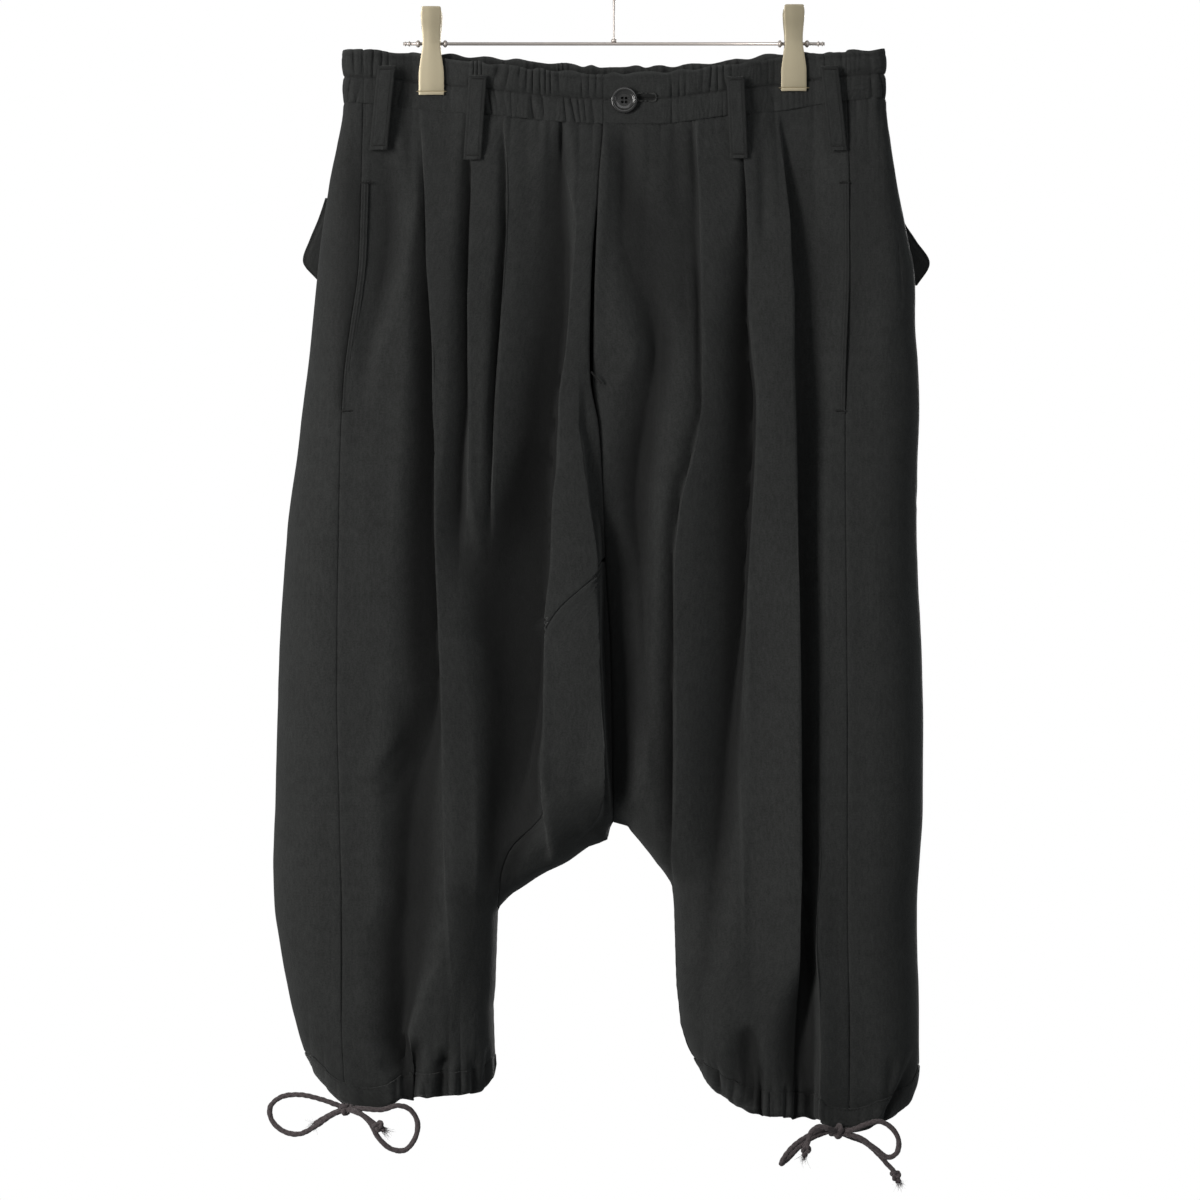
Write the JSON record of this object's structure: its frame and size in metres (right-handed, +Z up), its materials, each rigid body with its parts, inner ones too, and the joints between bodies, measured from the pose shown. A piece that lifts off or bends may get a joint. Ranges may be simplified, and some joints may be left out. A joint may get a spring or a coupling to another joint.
{
  "type": "harem pants on a clip hanger",
  "caption": "Cropped drop-crotch trousers with a gathered elastic waist, pressed pleats, pocket flaps and drawcord hems, hung flat from the clips of a wire hanger.",
  "frame": {"origin": "inner top of the hanger's hook, where a rail holds it", "axes": "+Z up along the hanging height; the garment's front faces -Y; +X to the right as seen from the front"},
  "size_m": [0.4856, 0.1035, 0.9325],
  "materials": {
    "cloth": "fine black wool gabardine, matt with a slight sheen",
    "cord": "round braided cotton cord, faded black-brown",
    "button": "polished black, rimmed, four holes",
    "metal": "pale gold plated steel"
  },
  "bodies": {
    "root": {"front_left": "cloth", "front_right": "cloth", "gusset": "cloth", "back_left": "cloth", "back_right": "cloth", "waistband_front_left": "cloth", "waistband_front_right": "cloth", "waistband_back": "cloth", "hem_left": "cloth", "hem_right": "cloth", "belt_loop_front_1": "cloth", "belt_loop_front_2": "cloth", "belt_loop_front_3": "cloth", "belt_loop_front_4": "cloth", "belt_loop_back_1": "cloth", "belt_loop_back_2": "cloth", "belt_loop_back_3": "cloth", "pocket_flap_left": "cloth", "pocket_flap_right": "cloth", "pocket_welt_left": "cloth", "pocket_welt_right": "cloth", "waist_button": "button", "cord_left_loop_outer": "cord", "cord_left_loop_inner": "cord", "cord_left_tail_outer": "cord", "cord_left_tail_inner": "cord", "cord_right_loop_inner": "cord", "cord_right_loop_outer": "cord", "cord_right_tail_inner": "cord", "cord_right_tail_outer": "cord", "bow_knot_left": "cord", "bow_knot_right": "cord", "end_knot_left_inner": "cord", "end_knot_right_inner": "cord", "end_knot_right_outer": "cord", "hanger_rod": "metal", "hanger_hook": "metal", "clip_left_front_jaw": "metal", "clip_left_back_jaw": "metal", "clip_left_spring": "metal", "clip_right_front_jaw": "metal", "clip_right_back_jaw": "metal", "clip_right_spring": "metal"}
  },
  "joints": []
}
